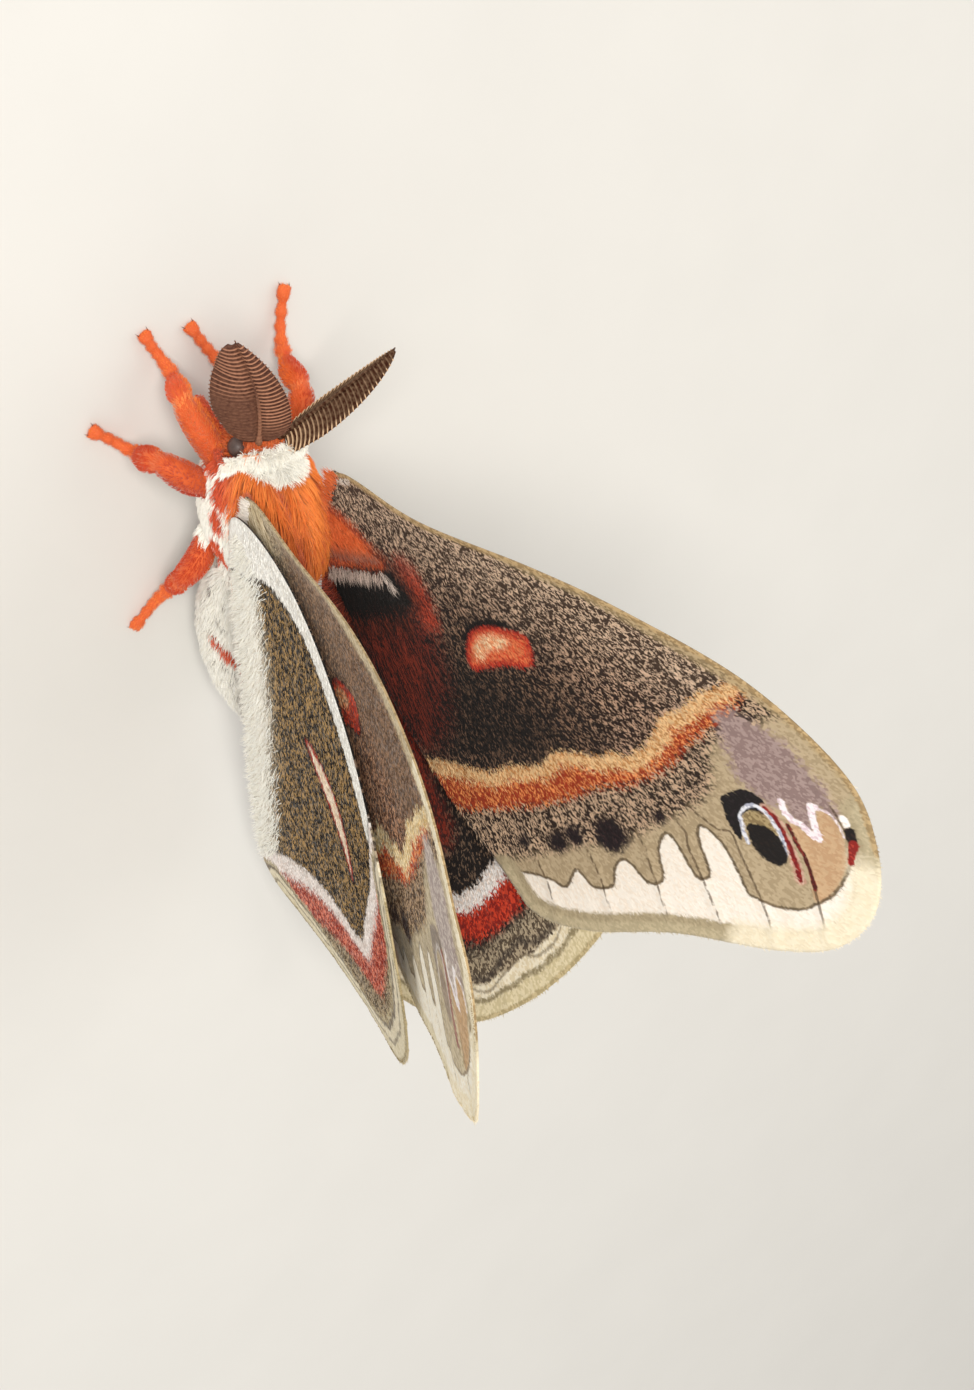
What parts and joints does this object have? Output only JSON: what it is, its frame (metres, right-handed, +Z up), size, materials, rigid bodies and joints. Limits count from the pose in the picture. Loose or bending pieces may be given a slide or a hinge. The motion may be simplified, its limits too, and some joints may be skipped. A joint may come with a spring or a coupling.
{
  "type": "silk moth",
  "caption": "Still, life-size silk moth resting on the floor with patterned wings raised over a furry body, comb feelers spread.",
  "frame": {"origin": "on the floor, below the middle of the moth's overall box", "axes": "+X to the moth's right, +Y forward, from abdomen to head, +Z up"},
  "size_m": [0.0464, 0.0796, 0.0842],
  "materials": {
    "orange_fur": "short dense orange-red fur, matt",
    "white_fur": "long soft cream-white fur with red and grey marks, matt",
    "wing_scales": "fine overlapping wing scales, matt, patterned",
    "feeler_brown": "horny brown combs with fine hairs",
    "eye_dark": "dark faceted eye with a soft gloss"
  },
  "bodies": {
    "root": {"head": "orange_fur", "thorax": "orange_fur", "abdomen": "white_fur", "eye_left": "eye_dark", "eye_right": "eye_dark", "antenna_left": "feeler_brown", "antenna_right": "feeler_brown", "forewing_left": "wing_scales", "forewing_right": "wing_scales", "hindwing_left": "wing_scales", "hindwing_right": "wing_scales", "leg_fore_left": "orange_fur", "leg_fore_right": "orange_fur", "leg_mid_left": "orange_fur", "leg_mid_right": "orange_fur", "leg_hind_left": "orange_fur", "leg_hind_right": "orange_fur"}
  },
  "joints": []
}
